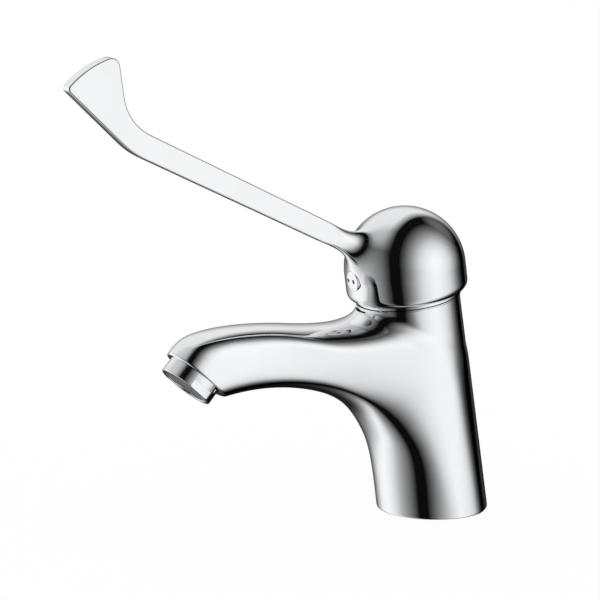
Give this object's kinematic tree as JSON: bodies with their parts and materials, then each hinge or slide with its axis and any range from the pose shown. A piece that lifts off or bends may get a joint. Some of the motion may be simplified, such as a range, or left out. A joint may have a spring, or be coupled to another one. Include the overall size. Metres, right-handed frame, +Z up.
{
  "type": "elbow lever tap",
  "caption": "Chromed single-hole basin mixer with a leaning column, an arched spout and a domed handle that carries a long flat elbow lever, lifted to open and turned to mix.",
  "frame": {"origin": "centre of the foot on the deck", "axes": "+Z up from the deck, the spout and lever point to -Y, +X is the cold side, on the right of a user who faces the spout"},
  "size_m": [0.0522, 0.2012, 0.2084],
  "materials": {
    "chrome": "polished chrome plate",
    "brass": "turned brass",
    "steel": "satin stainless steel",
    "rubber": "matte black rubber",
    "pale_plastic": "moulded off-white plastic",
    "grey_plastic": "moulded dark grey plastic",
    "ceramic": "lapped alumina ceramic",
    "red": "smooth red",
    "blue": "smooth blue"
  },
  "bodies": {
    "tap": {"mixer_body": "chrome", "base_gasket": "rubber", "aerator_housing": "chrome", "aerator_insert": "grey_plastic", "aerator_washer": "rubber", "cartridge_base": "pale_plastic", "inlet_seals": "rubber", "port_seals": "rubber", "fixed_disc": "ceramic", "cartridge_housing": "pale_plastic", "temperature_limiter": "red", "nut_washer": "steel", "retaining_nut": "brass", "shroud": "chrome", "shroud_o_ring": "rubber"},
    "collar": {"cartridge_rotor": "grey_plastic", "stem_pin": "steel"},
    "slider": {"disc_carrier": "grey_plastic", "moving_disc": "ceramic"},
    "handle": {"lever_handle": "chrome", "lever_stem": "steel", "grub_screw": "steel", "index_button": "chrome", "hot_dot": "red", "cold_dot": "blue"}
  },
  "joints": [
    {"name": "swivel", "type": "hinge", "parent": "tap", "child": "collar", "pos_m": [0, -0.01251, 0.09014], "axis": [0, -0.1374, 0.9905], "range_deg": [-45, 45]},
    {"name": "lift", "type": "hinge", "parent": "collar", "child": "handle", "pos_m": [0, -0.01251, 0.09014], "axis": [-1, 0, 0], "range_deg": [0, 25]},
    {"name": "disc_slide", "type": "slide", "parent": "collar", "child": "slider", "axis": [0, -0.9905, -0.1374], "range_m": [0, 0.004]}
  ],
  "couplings": [
    {"joint": "disc_slide", "follows": "lift", "m_per_rad": 0.0089288}
  ]
}
